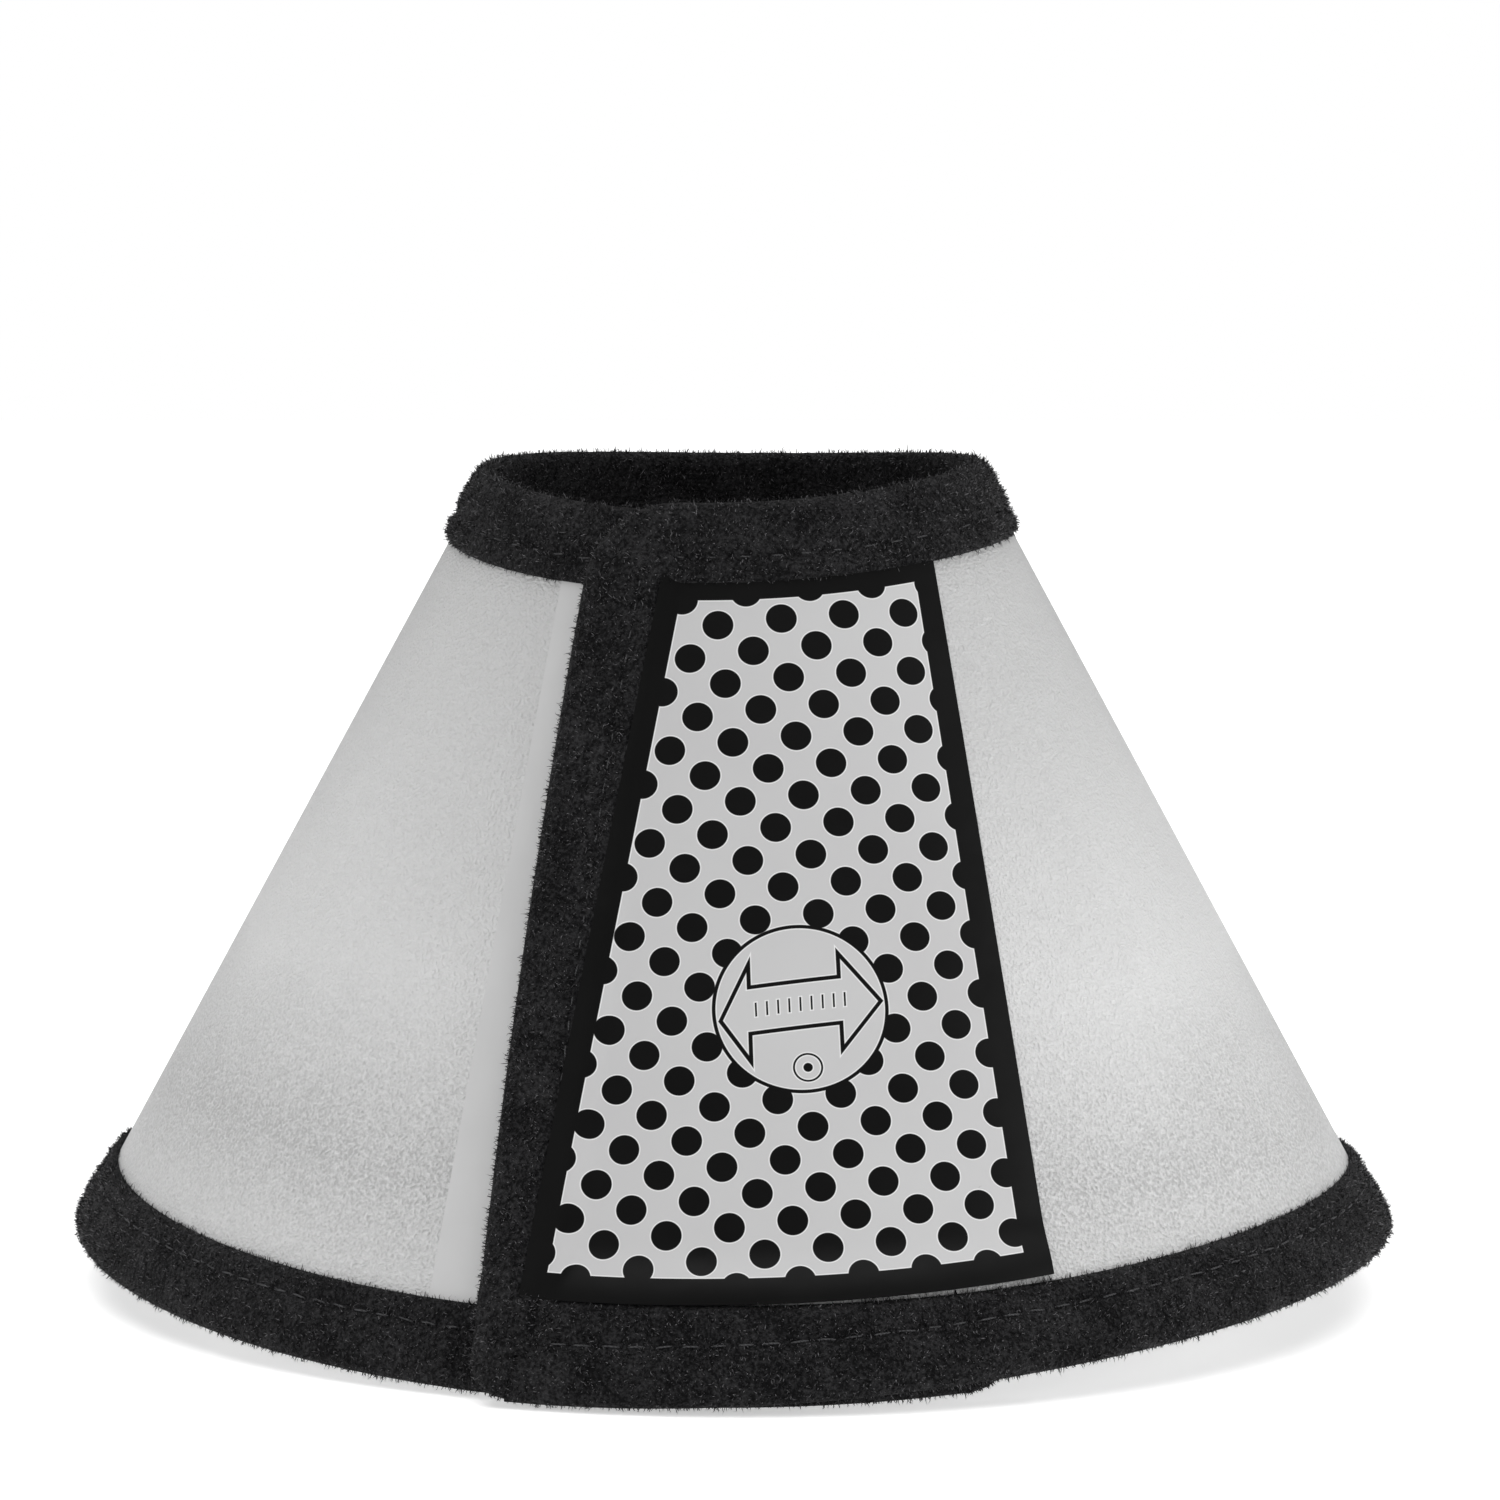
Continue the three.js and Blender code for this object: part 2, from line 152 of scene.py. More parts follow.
def rolled(flat, offset):
    """Flat pattern places and their height over the sheet's middle, as points in space: the
    distance from the cone's point goes down the line at that turn, and the height goes out."""
    slant = np.hypot(flat[..., 0], flat[..., 1])
    wrap = np.interp(np.arctan2(flat[..., 0], flat[..., 1]), TURNS, WRAPS)
    down, outward, _ = generator(wrap)
    layer = LAYER_SPACING * (0.5 - smoothstep((wrap - 51) / (315 - 51)))
    return CONE_POINT + down * slant[..., None] + outward * (layer + offset)[..., None]


def on_pattern(wrap, slant):
    """The flat place at a wrap angle and a distance from the cone's point. The flap's last part
    is skewed, so that its cut end leans away from a line to that point."""
    share = (slant - NECK_SLANT) / (RIM_SLANT - NECK_SLANT) - 0.5
    fade = 1 - smoothstep((wrap - FLAP_END) / (20 - FLAP_END))
    turn = turn_at(wrap + FLAP_SKEW * share * fade)
    return np.stack([slant * np.sin(turn), slant * np.cos(turn)], -1)


def rim_droop(wrap):
    """How much further than a true ring the rim is cut: at the flap, the inner end and the back."""
    flap = 2 * (1 - smoothstep((wrap - FLAP_END) / 60))
    inner = smoothstep((wrap - INNER_END) / 60 + 1)
    return flap + inner + 1.8 * (1 - smoothstep(np.abs(wrap - 170) / 60))


def corner_cut(distance, radius):
    """How far a rounded corner pulls an edge in, at a distance from the end: a quarter circle."""
    inside = radius - np.clip(distance, 0, radius)
    return radius - np.sqrt(radius**2 - inside**2)


def end_distances(wrap, slant):
    turn = turn_at(wrap)
    return slant * (turn - turn_at(FLAP_END)), slant * (turn_at(INNER_END) - turn)


def outward_faces(points, faces):
    """The faces, all turned over if the closed mesh they make has a negative volume."""
    a, b, c = points[faces[:, 0]], points[faces[:, 1]], points[faces[:, 2]]
    volume = np.einsum("ij,ij->i", a, np.cross(b, c)).sum()
    if faces.shape[1] == 4:
        d = points[faces[:, 3]]
        volume += np.einsum("ij,ij->i", a, np.cross(c, d)).sum()
    return faces if volume > 0 else faces[:, ::-1]


def make_piece(name, points, face_sets, finish, flat=()):
    """A smooth-shaded object from points in millimetres and arrays of triangles or quads. The
    numbers in flat say which of the arrays are walls and caps, shaded flat with sharp edges."""
    sizes = np.concatenate([np.full(len(faces), faces.shape[1]) for faces in face_sets])
    corners = np.concatenate([faces.ravel() for faces in face_sets])
    mesh = bpy.data.meshes.new(name)
    mesh.vertices.add(len(points))
    mesh.vertices.foreach_set("co", (points / 1000).astype(np.float32).ravel())
    mesh.loops.add(len(corners))
    mesh.loops.foreach_set("vertex_index", corners.astype(np.int32))
    mesh.polygons.add(len(sizes))
    mesh.polygons.foreach_set("loop_start", (np.cumsum(sizes) - sizes).astype(np.int32))
    smooth = [np.full(len(faces), number not in flat) for number, faces in enumerate(face_sets)]
    mesh.polygons.foreach_set("use_smooth", np.concatenate(smooth))
    mesh.update(calc_edges=True)
    mesh.validate()
    # an edge is sharp if its two points, as one number, are also a side of a wall or cap
    ends = np.empty(2 * len(mesh.edges), np.int32)
    mesh.edges.foreach_get("vertices", ends)
    sides = [np.stack([face_sets[n], np.roll(face_sets[n], -1, 1)], -1).reshape(-1, 2) for n in flat]
    pairs = [ends.reshape(-1, 2), *sides]
    keys = [np.sort(pair.astype(np.int64)) @ [len(points), 1] for pair in pairs]
    mesh.edges.foreach_set("use_edge_sharp", np.isin(keys[0], np.concatenate([[-1], *keys[1:]])))
    mesh.materials.append(finish)
    piece = bpy.data.objects.new(name, mesh)
    bpy.context.scene.collection.objects.link(piece)
    return piece


def grid_faces(rows, columns, first=0):
    """The quads of a grid of points stored row by row."""
    corner = first + (np.arange(rows - 1)[:, None] * columns + np.arange(columns - 1)).ravel()
    return np.stack([corner, corner + 1, corner + 1 + columns, corner + columns], -1)


def plate(flat, inside, outside):
    """A closed plate over a grid of flat places, between two heights: its points, and the quads
    of both faces and of the walls."""
    rows, columns = flat.shape[:2]
    count = rows * columns
    points = np.concatenate([rolled(flat, h).reshape(-1, 3) for h in (outside, inside)])
    ring = np.concatenate([
        np.arange(columns - 1),
        np.arange(rows - 1) * columns + columns - 1,
        count - 1 - np.arange(columns - 1),
        (rows - 1 - np.arange(rows - 1)) * columns,
    ])
    after = np.roll(ring, -1)
    skins = np.concatenate([grid_faces(rows, columns), grid_faces(rows, columns, count)[:, ::-1]])
    walls = np.stack([after, ring, ring + count, after + count], -1)
    faces = outward_faces(points, np.concatenate([skins, walls]))
    return points, faces[:len(skins)], faces[len(skins):]


class Value:
    """A node's output in a sum, so that shader maths reads as a formula."""

    def __init__(self, finish, socket):
        self.finish, self.socket = finish, socket

    def maths(self, operation, *values, first=None):
        inputs = dict(enumerate(values, 1)) | {0: self if first is None else first}
        if first is not None:
            inputs[1] = self
        return self.finish.node("ShaderNodeMath", {"operation": operation}, inputs)

    def __add__(self, other):
        return self.maths("ADD", other)

    def __sub__(self, other):
        return self.maths("SUBTRACT", other)

    def __mul__(self, other):
        return self.maths("MULTIPLY", other)

    def __rsub__(self, other):
        return self.maths("SUBTRACT", first=other)

    __radd__, __rmul__ = __add__, __mul__

    def least(self, other):
        return self.maths("MINIMUM", other)

    def most(self, other):
        return self.maths("MAXIMUM", other)

    def size(self):
        return self.maths("ABSOLUTE")

    def root(self):
        return self.maths("SQRT")

    def nearest_whole(self):
        return self.maths("ROUND")

    def below(self, edge, soft):
        """1 where this is under edge and 0 above it, over a soft step."""
        share = (self - (edge - soft)) * (1 / (2 * soft))
        return 1 - share.most(0).least(1)


class Finish:
    """A material made node by node, with one Principled shader."""

    def __init__(self, name):
        self.material = bpy.data.materials.new(name)
        self.material.use_nodes = True
        self.tree = self.material.node_tree
        self.shader = self.tree.nodes["Principled BSDF"]

    def node(self, kind, settings, inputs, output=0):
        """Adds a node, makes its settings, then sets or links its inputs. A ramp's stops are
        given as the setting "stops"."""
        made = self.tree.nodes.new(kind)
        for key, value in settings.items():
            if key == "stops":
                ramp = made.color_ramp.elements
                for number, (place, shade) in enumerate(value):
                    stop = ramp[number] if number < len(ramp) else ramp.new(place)
                    stop.position, stop.color = place, (shade, shade, shade, 1)
            else:
                setattr(made, key, value)
        self.put(made, inputs)
        return Value(self, made.outputs[output])

    def put(self, node, inputs):
        for key, value in inputs.items():
            if isinstance(value, Value):
                self.tree.links.new(value.socket, node.inputs[key])
            else:
                node.inputs[key].default_value = value

    def place(self):
        """The point on the piece, in metres."""
        return self.node("ShaderNodeTexCoord", {}, {}, "Object")

    def noise(self, scale, detail=2.0, roughness=0.5):
        """A cloudy value about 0.5. The scale is in features to a metre."""
        inputs = {"Scale": scale, "Detail": detail, "Roughness": roughness, "Vector": self.place()}
        return self.node("ShaderNodeTexNoise", {}, inputs, "Fac")

    def mix(self, share, low, high):
        """A colour between two colours."""
        inputs = {0: share, 6: low, 7: high}
        return self.node("ShaderNodeMix", {"data_type": "RGBA"}, inputs, 2)

    def bump(self, height, distance, strength=1.0, under=None):
        inputs = {"Height": height, "Distance": distance, "Strength": strength}
        if under:
            inputs["Normal"] = under
        return self.node("ShaderNodeBump", {}, inputs)

    def let_through(self, share, colour):
        """Some of the light goes through to the far side, scattered."""
        glow = self.node("ShaderNodeBsdfTranslucent", {}, {"Color": colour})
        surface = Value(self, self.shader.outputs[0])
        both = self.node("ShaderNodeMixShader", {}, {0: share, 1: surface, 2: glow})
        self.put(self.tree.nodes["Material Output"], {"Surface": both})


def grey(level):
    return (level, level, level, 1)


# Painted light and shade on the sheet: its colour is painted lighter below one height, and a painted
# band of shade, darker and grainier, runs round it near the rim.
PAINTED_LIGHT_HEIGHT, PAINTED_LIGHT_SOFT = 92, 34
SHADE_BAND_HEIGHT, SHADE_BAND_HALF, SHADE_BAND_SOFT = 34, 13, 15
PEBBLE_DEPTH = 0.0005
LIGHT_THROUGH = 0.24


frosted = Finish("frosted_plastic")
height_up = frosted.node("ShaderNodeSeparateXYZ", {}, {0: frosted.place()}, 2) * 1000
clouds = frosted.noise(14, 3)
pebble = frosted.noise(1900, 1, 0.5)
worn = frosted.noise(34, 4, 0.62)
# painted shade: a darker band round the sheet near the rim, with a ragged edge
painted_shade_band = (height_up - SHADE_BAND_HEIGHT + 26 * (clouds - 0.5)).size().below(SHADE_BAND_HALF, SHADE_BAND_SOFT)
# painted light: the sheet's colour is lighter below a height
painted_light_below = (height_up - PAINTED_LIGHT_HEIGHT).below(0, PAINTED_LIGHT_SOFT)
tone = 0.42 + 0.42 * painted_light_below - 0.58 * painted_shade_band + 0.45 * (clouds - 0.5)
# painted shade and highlight: the pebble's pits are painted darker and its tops lighter, most in the
# band of painted shade
tone = tone + (pebble - 0.5) * (0.4 + 2.2 * painted_shade_band)
waviness = frosted.bump(frosted.noise(55, 2), 0.0004, 0.5)
frosted.put(frosted.shader, {
    "Base Color": frosted.mix(tone.most(0).least(1), grey(0.40), grey(0.68)),
    "Roughness": 0.34 + 0.16 * worn,
    "IOR": 1.45,
    "Normal": frosted.bump(pebble, PEBBLE_DEPTH, 1.0, waviness),
})
frosted.let_through(LIGHT_THROUGH, grey(0.74))

# The joint named for each panel of the sheet that has one. Only which panels are named is read.
PANEL_JOINT = {"flap": "flap_peel", "right": "wrap_open", "left": "inner_end_open"}


def carry(piece, panel):
    """A piece of a panel named in PANEL_JOINT keeps its place, with its transform baked into its mesh;
    any other piece is hung on its panel's body.
    """
    if panel not in PANEL_JOINT:
        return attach(piece, panel)
    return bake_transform(piece)


for panel, (first, last) in SEAMS.items():
    wraps = np.linspace(first, last, int((last - first) / COLUMN_WRAP))
    # finer columns over the four degrees next to a cut end, for its round corners
    corner = 4 * (1 - np.cos(np.linspace(0, math.pi / 2, 14)))
    extra = {"flap": first + corner, "inner_end": last - corner}.get(panel, [])
    wraps = np.unique(np.round(np.concatenate([wraps, extra]), 3))
    to_flap, to_inner = end_distances(wraps, NECK_SLANT + NECK_CORNER)
    neck = NECK_SLANT + corner_cut(to_flap, NECK_CORNER) + corner_cut(to_inner, NECK_CORNER)
    to_flap, to_inner = end_distances(wraps, RIM_SLANT)
    rim = RIM_SLANT + rim_droop(wraps)
    rim = rim - corner_cut(to_flap, RIM_CORNER) - corner_cut(to_inner, INNER_RIM_CORNER)
    share = np.linspace(0, 1, 40)[:, None]
    cut = on_pattern(wraps[None, :], neck * (1 - share) + rim * share)
    face_height = np.full(cut.shape[:2], SHEET_FACE)
    points, skins, walls = plate(cut, -face_height, face_height)
    name = f"frosted_sheet_{panel}"
    sheet = make_piece(name, points, [skins, walls], frosted.material, [1])
    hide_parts(f"cone_sheet_{CAD_PANEL[panel]}")
    carry(sheet, panel)


# ----------------------------------------------------------------------------------- fleece tape
# Brushed black fleece tape about 28 mm wide, folded in half over every edge of the sheet and sewn
# through. One length goes round the neck, turns both corners and comes down both cut ends. Another
# goes round the rim. It is soft and stands about 2 mm off the sheet on each side, and is drawn in
# along the stitches. Its nap is made fibre by fibre.

FOLD_OUT = 1.6
TAPE_EDGE = 12.2
TAPE_LOFT = 1.9
LEAST_LOFT = 0.34
STITCH_LINE = 9.6
CORNER_RADIUS = 14.6
FLAP_SETBACK, INNER_SETBACK = 2.1, 4.2
CROSSING_LIFT = 0.75
COLUMN = 1.1
FIBRES_PER_MM = 84
MOST_FIBRES = 16200
draw = np.random.default_rng(7)


def path_directions(path):
    """The unit direction along a flat path, from the points on both sides."""
    along = np.gradient(path, axis=0)
    return along / np.linalg.norm(along, axis=1, keepdims=True)


def evenly(path, spacing):
    """The path again, at even distances along it."""
    gaps = np.linalg.norm(np.diff(path, axis=0), axis=1)
    keep = np.concatenate([[True], gaps > 1e-4])
    path = path[keep]
    along = np.concatenate([[0], np.cumsum(np.linalg.norm(np.diff(path, axis=0), axis=1))])
    stops = np.linspace(0, along[-1], int(along[-1] / spacing) + 1)
    return np.stack([np.interp(stops, along, path[:, axis]) for axis in (0, 1)], -1)


def end_fold(end):
    """The fold line down a cut end, from near the neck to the rim, pushed out by FOLD_OUT, with
    its rim corner rounded, and the unit vector into the sheet at each point."""
    slants = np.linspace(92, RIM_SLANT + rim_droop(end) + FOLD_OUT, 240)
    line = on_pattern(np.full_like(slants, end), slants)
    along = path_directions(line)
    inward = np.stack([along[:, 1], -along[:, 0]], -1) * (1 if end == FLAP_END else -1)
    corner = RIM_CORNER if end == FLAP_END else INNER_RIM_CORNER
    cut = corner_cut(slants[-1] - slants, corner + FOLD_OUT)
    return line + inward * (cut - FOLD_OUT)[:, None], inward


def neck_fold(first, last):
    """The fold line round the neck between two wrap angles. At a cut end it goes on round the
    corner, a circle that touches the neck's arc and the end's line, and down the end."""
    arc = NECK_SLANT - FOLD_OUT
    turns = [turn_at(first), turn_at(last)]
    before, after = np.empty((0, 2)), np.empty((0, 2))
    for end in (FLAP_END, INNER_END):
        if end not in (first, last):
            continue
        line, inward = end_fold(end)
        near, into = line[24], inward[24]
        along = path_directions(line)[24]
        base = near + into * CORNER_RADIUS
        reach = base @ along
        centre = base + along * (math.sqrt(reach**2 - base @ base + (arc + CORNER_RADIUS) ** 2) - reach)
        start = math.atan2(-centre[1], -centre[0])
        stop = math.atan2(-into[1], -into[0])
        sweep = (stop - start + math.pi) % (2 * math.pi) - math.pi
        angles = start + np.linspace(0, 1, 40) * sweep
        bend = centre + CORNER_RADIUS * np.stack([np.cos(angles), np.sin(angles)], -1)
        below = line[(line - bend[-1]) @ along > 0.5]
        tail = np.concatenate([bend, below])
        turn = math.atan2(centre[0], centre[1])
        if end == FLAP_END:
            turns[0], before = turn, tail[::-1]
        else:
            turns[1], after = turn, tail
    turn = np.linspace(*turns, 400)
    round_neck = arc * np.stack([np.sin(turn), np.cos(turn)], -1)
    return np.concatenate([before, round_neck, after])


def rim_fold(first, last):
    """The fold line round the rim between two wrap angles, which starts inside the end's tape."""
    start = first + FLAP_SETBACK if first == FLAP_END else first
    stop = last - INNER_SETBACK if last == INNER_END else last
    wraps = np.linspace(start, stop, 500)
    return on_pattern(wraps, RIM_SLANT + rim_droop(wraps) + FOLD_OUT)


def lumps(points, size):
    """A slow unevenness over points in space, from -1 to 1: three crossed waves added up."""
    x, y, z = (points[..., axis] / size for axis in range(3))
    first = np.sin(x * 1.7 + 2.1 * np.sin(y))
    second = np.sin(y * 1.9 + 1.3 * np.sin(z * 1.4))
    return (first + second + np.sin(z * 2.3 + x)) / 3


def tape_section(width):
    """The folded tape's section at each width: distance in from the fold and height off the
    sheet. It goes from the outer leg's free edge over the fold and back along the inner leg, then
    round the slot that holds the sheet. A leg's top is a quarter ellipse at the fold and at the
    free edge, with a dip at the stitches."""
    near_edge, near_fold = [1, 1, 0.985, 0.95], [0.08, 0.045, 0.02, 0.005]
    share = np.concatenate([near_edge, np.linspace(0.9, 0.12, 15), near_fold])
    inset = share * width[:, None]
    fold = np.sqrt(1 - (1 - np.clip(inset / 2.6, 0, 1)) ** 2)
    free = np.sqrt(1 - np.clip((inset - width[:, None] + 1.6) / 1.75, 0, 1) ** 2)
    dip = 0.55 * np.exp(-(((inset - STITCH_LINE) / 0.75) ** 2))
    crown = 0.14 * np.sin(math.pi * np.clip(inset / STITCH_LINE, 0, 1))
    loft = TAPE_LOFT + crown - 0.12 * (inset > STITCH_LINE)
    height = np.maximum((loft - dip) * fold * free, LEAST_LOFT)
    height[:, 0] = LEAST_LOFT
    nose = np.zeros((len(width), 1))
    slot = [[1.7, 1.5, 1.7], [-LEAST_LOFT, 0, LEAST_LOFT]]
    slot = np.broadcast_to(slot, (len(width), 2, 3))
    all_inset = np.concatenate([inset, nose, inset[:, ::-1], slot[:, 0]], 1)
    all_height = np.concatenate([height, nose, -height[:, ::-1], slot[:, 1]], 1)
    return all_inset, all_height, len(share)


def nap(grid, side, count, thick):
    """Fibres on a swept grid, more where thick is larger: each leans out from a random point, is
    bent once at its knee and tapers to a tip. It has three points at its foot, three at its knee
    and one at its tip. Gives the points, the quads and the triangles."""
    du = np.diff(grid, axis=0)[:, :-1]
    dv = np.diff(grid, axis=1)[:-1]
    face = np.cross(du, dv) * side
    area = np.linalg.norm(face, axis=-1) * thick
    chosen = draw.choice(area.size, count, p=(area / area.sum()).ravel())
    i, j = np.divmod(chosen, area.shape[1])
    u, v = draw.random((2, count, 1))
    near = grid[i, j] * (1 - u) + grid[i + 1, j] * u
    root = near * (1 - v) + (grid[i, j + 1] * (1 - u) + grid[i + 1, j + 1] * u) * v
    out = face[i, j] / np.linalg.norm(face[i, j], axis=-1, keepdims=True)
    sway = draw.normal(size=(2, count, 3))
    length = draw.gamma(9, 0.085, (count, 1)) * (0.9 + 0.3 * lumps(root, 2.3)[:, None])
    length = np.where(draw.random((count, 1)) < 0.012, length * 1.5, length)
    lean = out * 0.85 + sway[0] * 0.36
    bend = lean * 0.55 + sway[1] * 0.55
    lean, bend = (way / np.linalg.norm(way, axis=1, keepdims=True) for way in (lean, bend))
    knee = root + lean * length * 0.6
    tip = knee + bend * length * 0.55
    across = np.cross(lean, sway[1])
    across /= np.linalg.norm(across, axis=1, keepdims=True)
    angle = np.radians([0, 120, 240])[:, None]
    spokes = across[:, None] * np.cos(angle) + np.cross(lean, across)[:, None] * np.sin(angle)
    spokes = spokes * draw.uniform(0.055, 0.1, (count, 1, 1))
    foot = (root - out * 0.12)[:, None] + spokes
    points = np.concatenate([foot, knee[:, None] + spokes * 0.7, tip[:, None]], 1).reshape(-1, 3)
    first = np.arange(count)[:, None] * 7
    quads = np.concatenate([first + [k, (k + 1) % 3, (k + 1) % 3 + 3, k + 3] for k in range(3)])
    tips = np.concatenate([first + way for way in ([3, 4, 6], [4, 5, 6], [5, 3, 6], [0, 2, 1])])
    return points, quads, tips


fleece = Finish("black_fleece")
# painted highlight: each fibre's colour is lighter towards its tip, read from its points
fibre = fleece.node("ShaderNodeAttribute", {"attribute_name": "fibre_tip_highlight"}, {}, "Fac")
tufts = fleece.noise(420, 3, 0.65)
strands = fleece.noise(1700, 2, 0.7)
shade = fibre + (tufts - 0.5) * 0.1 + (strands - 0.5) * 0.3
fleece.put(fleece.shader, {
    "Base Color": fleece.mix(
        shade.most(0).least(1), (0.0016, 0.0016, 0.0019, 1), (0.26, 0.256, 0.266, 1)),
    "Roughness": 0.85 - 0.2 * tufts,
    "Specular IOR Level": 0.08,
    "Sheen Weight": 0.02,
    "Sheen Roughness": 0.5,
    "Normal": fleece.bump(strands + tufts, 0.0006, 1.0),
})


def tape_piece(name, path, side, width, panel, cad_nodes, ends, lift=None, bare=None):
    """A folded tape swept along a flat fold line, with its nap: the section stands across the
    line at each point, from the fold in over the sheet. Gives the line and the way in.

    side is which way the sheet lies from the path, ends says whether each end is closed by
    pinching it flat, lift raises it over what it crosses, and bare says where it has no nap.
    """
    path = evenly(path, COLUMN)
    along = path_directions(path)
    inward = np.stack([-along[:, 1], along[:, 0]], -1) * side
    gone = np.arange(len(path)) * COLUMN
    inset, height, legs = tape_section(width(path))
    pinch = np.ones(len(path))
    for closed, distance in zip(ends, (gone, gone[::-1])):
        if closed:
            pinch *= np.sqrt(1 - (1 - np.clip(distance / 1.8, 0, 1)) ** 2) * 0.8 + 0.2
    height = height * pinch[:, None]
    if lift is not None:
        fade = 1 - smoothstep((inset - 6) / 7)
        height = height + lift(path)[:, None] * (height > 0.4) * fade
    flat = path[:, None] + inward[:, None] * inset[..., None]
    spot = rolled(flat, height)
    tufts_out = np.sign(height) * 0.1 * lumps(spot, 1.3) * (np.abs(height) > 0.5)
    height = height * (1 + 0.05 * lumps(spot, 3.1)) + tufts_out
    covered = np.zeros(height.shape) if bare is None else bare(flat, height)
    height = np.where(covered > 0, np.minimum(height, 1.5), height)
    grid = rolled(flat, height)
    grid[..., 2] = np.maximum(grid[..., 2], 0)
    rows, columns = height.shape
    points = grid.reshape(-1, 3)
    across = np.arange(columns)
    onward = (across + 1) % columns
    starts = np.arange(rows - 1)[:, None] * columns
    nexts = starts + columns
    body = np.stack([starts + across, starts + onward, nexts + onward, nexts + across], -1)
    body = body.reshape(-1, 4)
    hubs = np.stack([grid[0].mean(0), grid[-1].mean(0)])
    last_row = (rows - 1) * columns
    caps = np.concatenate([
        np.stack([onward, across, np.full(columns, len(points))], -1),
        np.stack([last_row + across, last_row + onward, np.full(columns, len(points) + 1)], -1),
    ])
    outward = outward_faces(points, body)
    turned = bool((outward[0] != body[0]).any())
    caps = caps[:, ::-1] if turned else caps
    thick = (across[:-1] < 2 * legs) * (1.0 - covered[:-1, :-1]) * (grid[:-1, :-1, 2] > 0.5)
    wanted = min(int(FIBRES_PER_MM * gone[-1]), MOST_FIBRES)
    hair, hair_quads, hair_tips = nap(grid, 1 if turned else -1, wanted, thick)
    hair[:, 2] = np.maximum(hair[:, 2], 0.02)
    first = len(points) + 2
    everything = np.concatenate([points, hubs, hair])
    faces = [outward, caps, hair_quads + first, hair_tips + first]
    piece = make_piece(name, everything, faces, fleece.material, [1])
    # the cloth is near black, and each fibre is painted lighter towards its tip, by a random amount, as
    # a painted highlight on the nap
    tip_highlight = np.array([0, 0, 0, 0.7, 0.7, 0.7, 1.0]) * draw.uniform(0.03, 1.0, (wanted, 1)) ** 2.4
    tone = np.concatenate([0.03 + 0.02 * lumps(np.concatenate([points, hubs]), 4.0), tip_highlight.ravel()])
    shades = piece.data.attributes.new("fibre_tip_highlight", "FLOAT", "POINT")
    shades.data.foreach_set("value", tone.astype(np.float32))
    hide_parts(*cad_nodes)
    carry(piece, panel)
    return path, inward


def neck_width(path):
    return np.full(len(path), TAPE_EDGE + FOLD_OUT)


def rim_width(path):
    """To a line a little nearer the neck where the rim droops, under the label's foot."""
    slant = np.hypot(path[:, 0], path[:, 1])
    wrap = np.interp(np.arctan2(path[:, 0], path[:, 1]), TURNS, WRAPS)
    return slant - (RIM_SLANT - TAPE_EDGE - 0.75 * rim_droop(wrap) * (wrap < 60))


def over_rim(path):
    """The end's tape lies on the rim's, so it stands up where it crosses it."""
    return CROSSING_LIFT * smoothstep((np.hypot(path[:, 0], path[:, 1]) - 212) / 8)


LABEL_LEFT = np.array([[-10.2, 96.5], [-34.67, 214.7]])
LABEL_RIGHT = np.array([[33.3, 91.8], [49.53, 211.7]])
LABEL_FOOT = 217.4


def beyond(flat, line):
    """How far flat places are to the right of a straight line that goes down the pattern."""
    along = (line[1] - line[0]) / np.linalg.norm(line[1] - line[0])
    return (flat - line[0]) @ np.array([along[1], -along[0]])


def under_label(flat, height):
    """Where the printed label lies on the fleece, which has no nap showing there."""
    inside = (beyond(flat, LABEL_LEFT) > -0.2) & (beyond(flat, LABEL_RIGHT) < 0.2)
    slant = np.hypot(flat[..., 0], flat[..., 1])
    return inside & (slant < LABEL_FOOT + 0.2) & (slant > 99) & (height > 0)


CUT_ENDS = {"flap": ["flap_end_binding"], "inner_end": ["inner_end_binding"]}
stitched = []
for panel, (first, last) in SEAMS.items():
    own = CAD_PANEL[panel]
    closed = (panel == "flap", panel == "inner_end")
    cover = under_label if panel == "flap" else None
    neck = tape_piece(
        f"fleece_neck_{panel}", neck_fold(first, last), 1, neck_width, panel,
        [f"neck_binding_{own}", *CUT_ENDS.get(panel, [])], closed, over_rim, cover)
    rim = tape_piece(
        f"fleece_rim_{panel}", rim_fold(first, last), -1, rim_width, panel,
        [f"rim_binding_{own}"], closed, None, cover)
    stitched.append((panel, neck, rim))


# ------------------------------------------------------------------------------------- stitching
# A lockstitch row in black polyester thread, 8 mm in from the sheet's edge, sewn through both legs
# of the tape. It sinks into the fleece, and each stitch shows as a short dash with a faint shine.

STITCH_PITCH = 4.4
STITCH_LENGTH = 3.3
THREAD_RADIUS = 0.17
STITCH_ARCH = 0.42
ROW_HEIGHT = {"neck": 0.95, "rim": 1.15}

thread = Finish("black_thread")
ply = thread.node(
    "ShaderNodeTexWave", {"bands_direction": "DIAGONAL"},
    {"Scale": 900, "Distortion": 1.5, "Vector": thread.place()}, "Fac")
thread.put(thread.shader, {
    "Base Color": thread.mix(ply, (0.008, 0.008, 0.009, 1), (0.04, 0.04, 0.043, 1)),
    "Roughness": 0.42 + 0.2 * ply,
    "Normal": thread.bump(ply, 0.00008, 0.8),
})


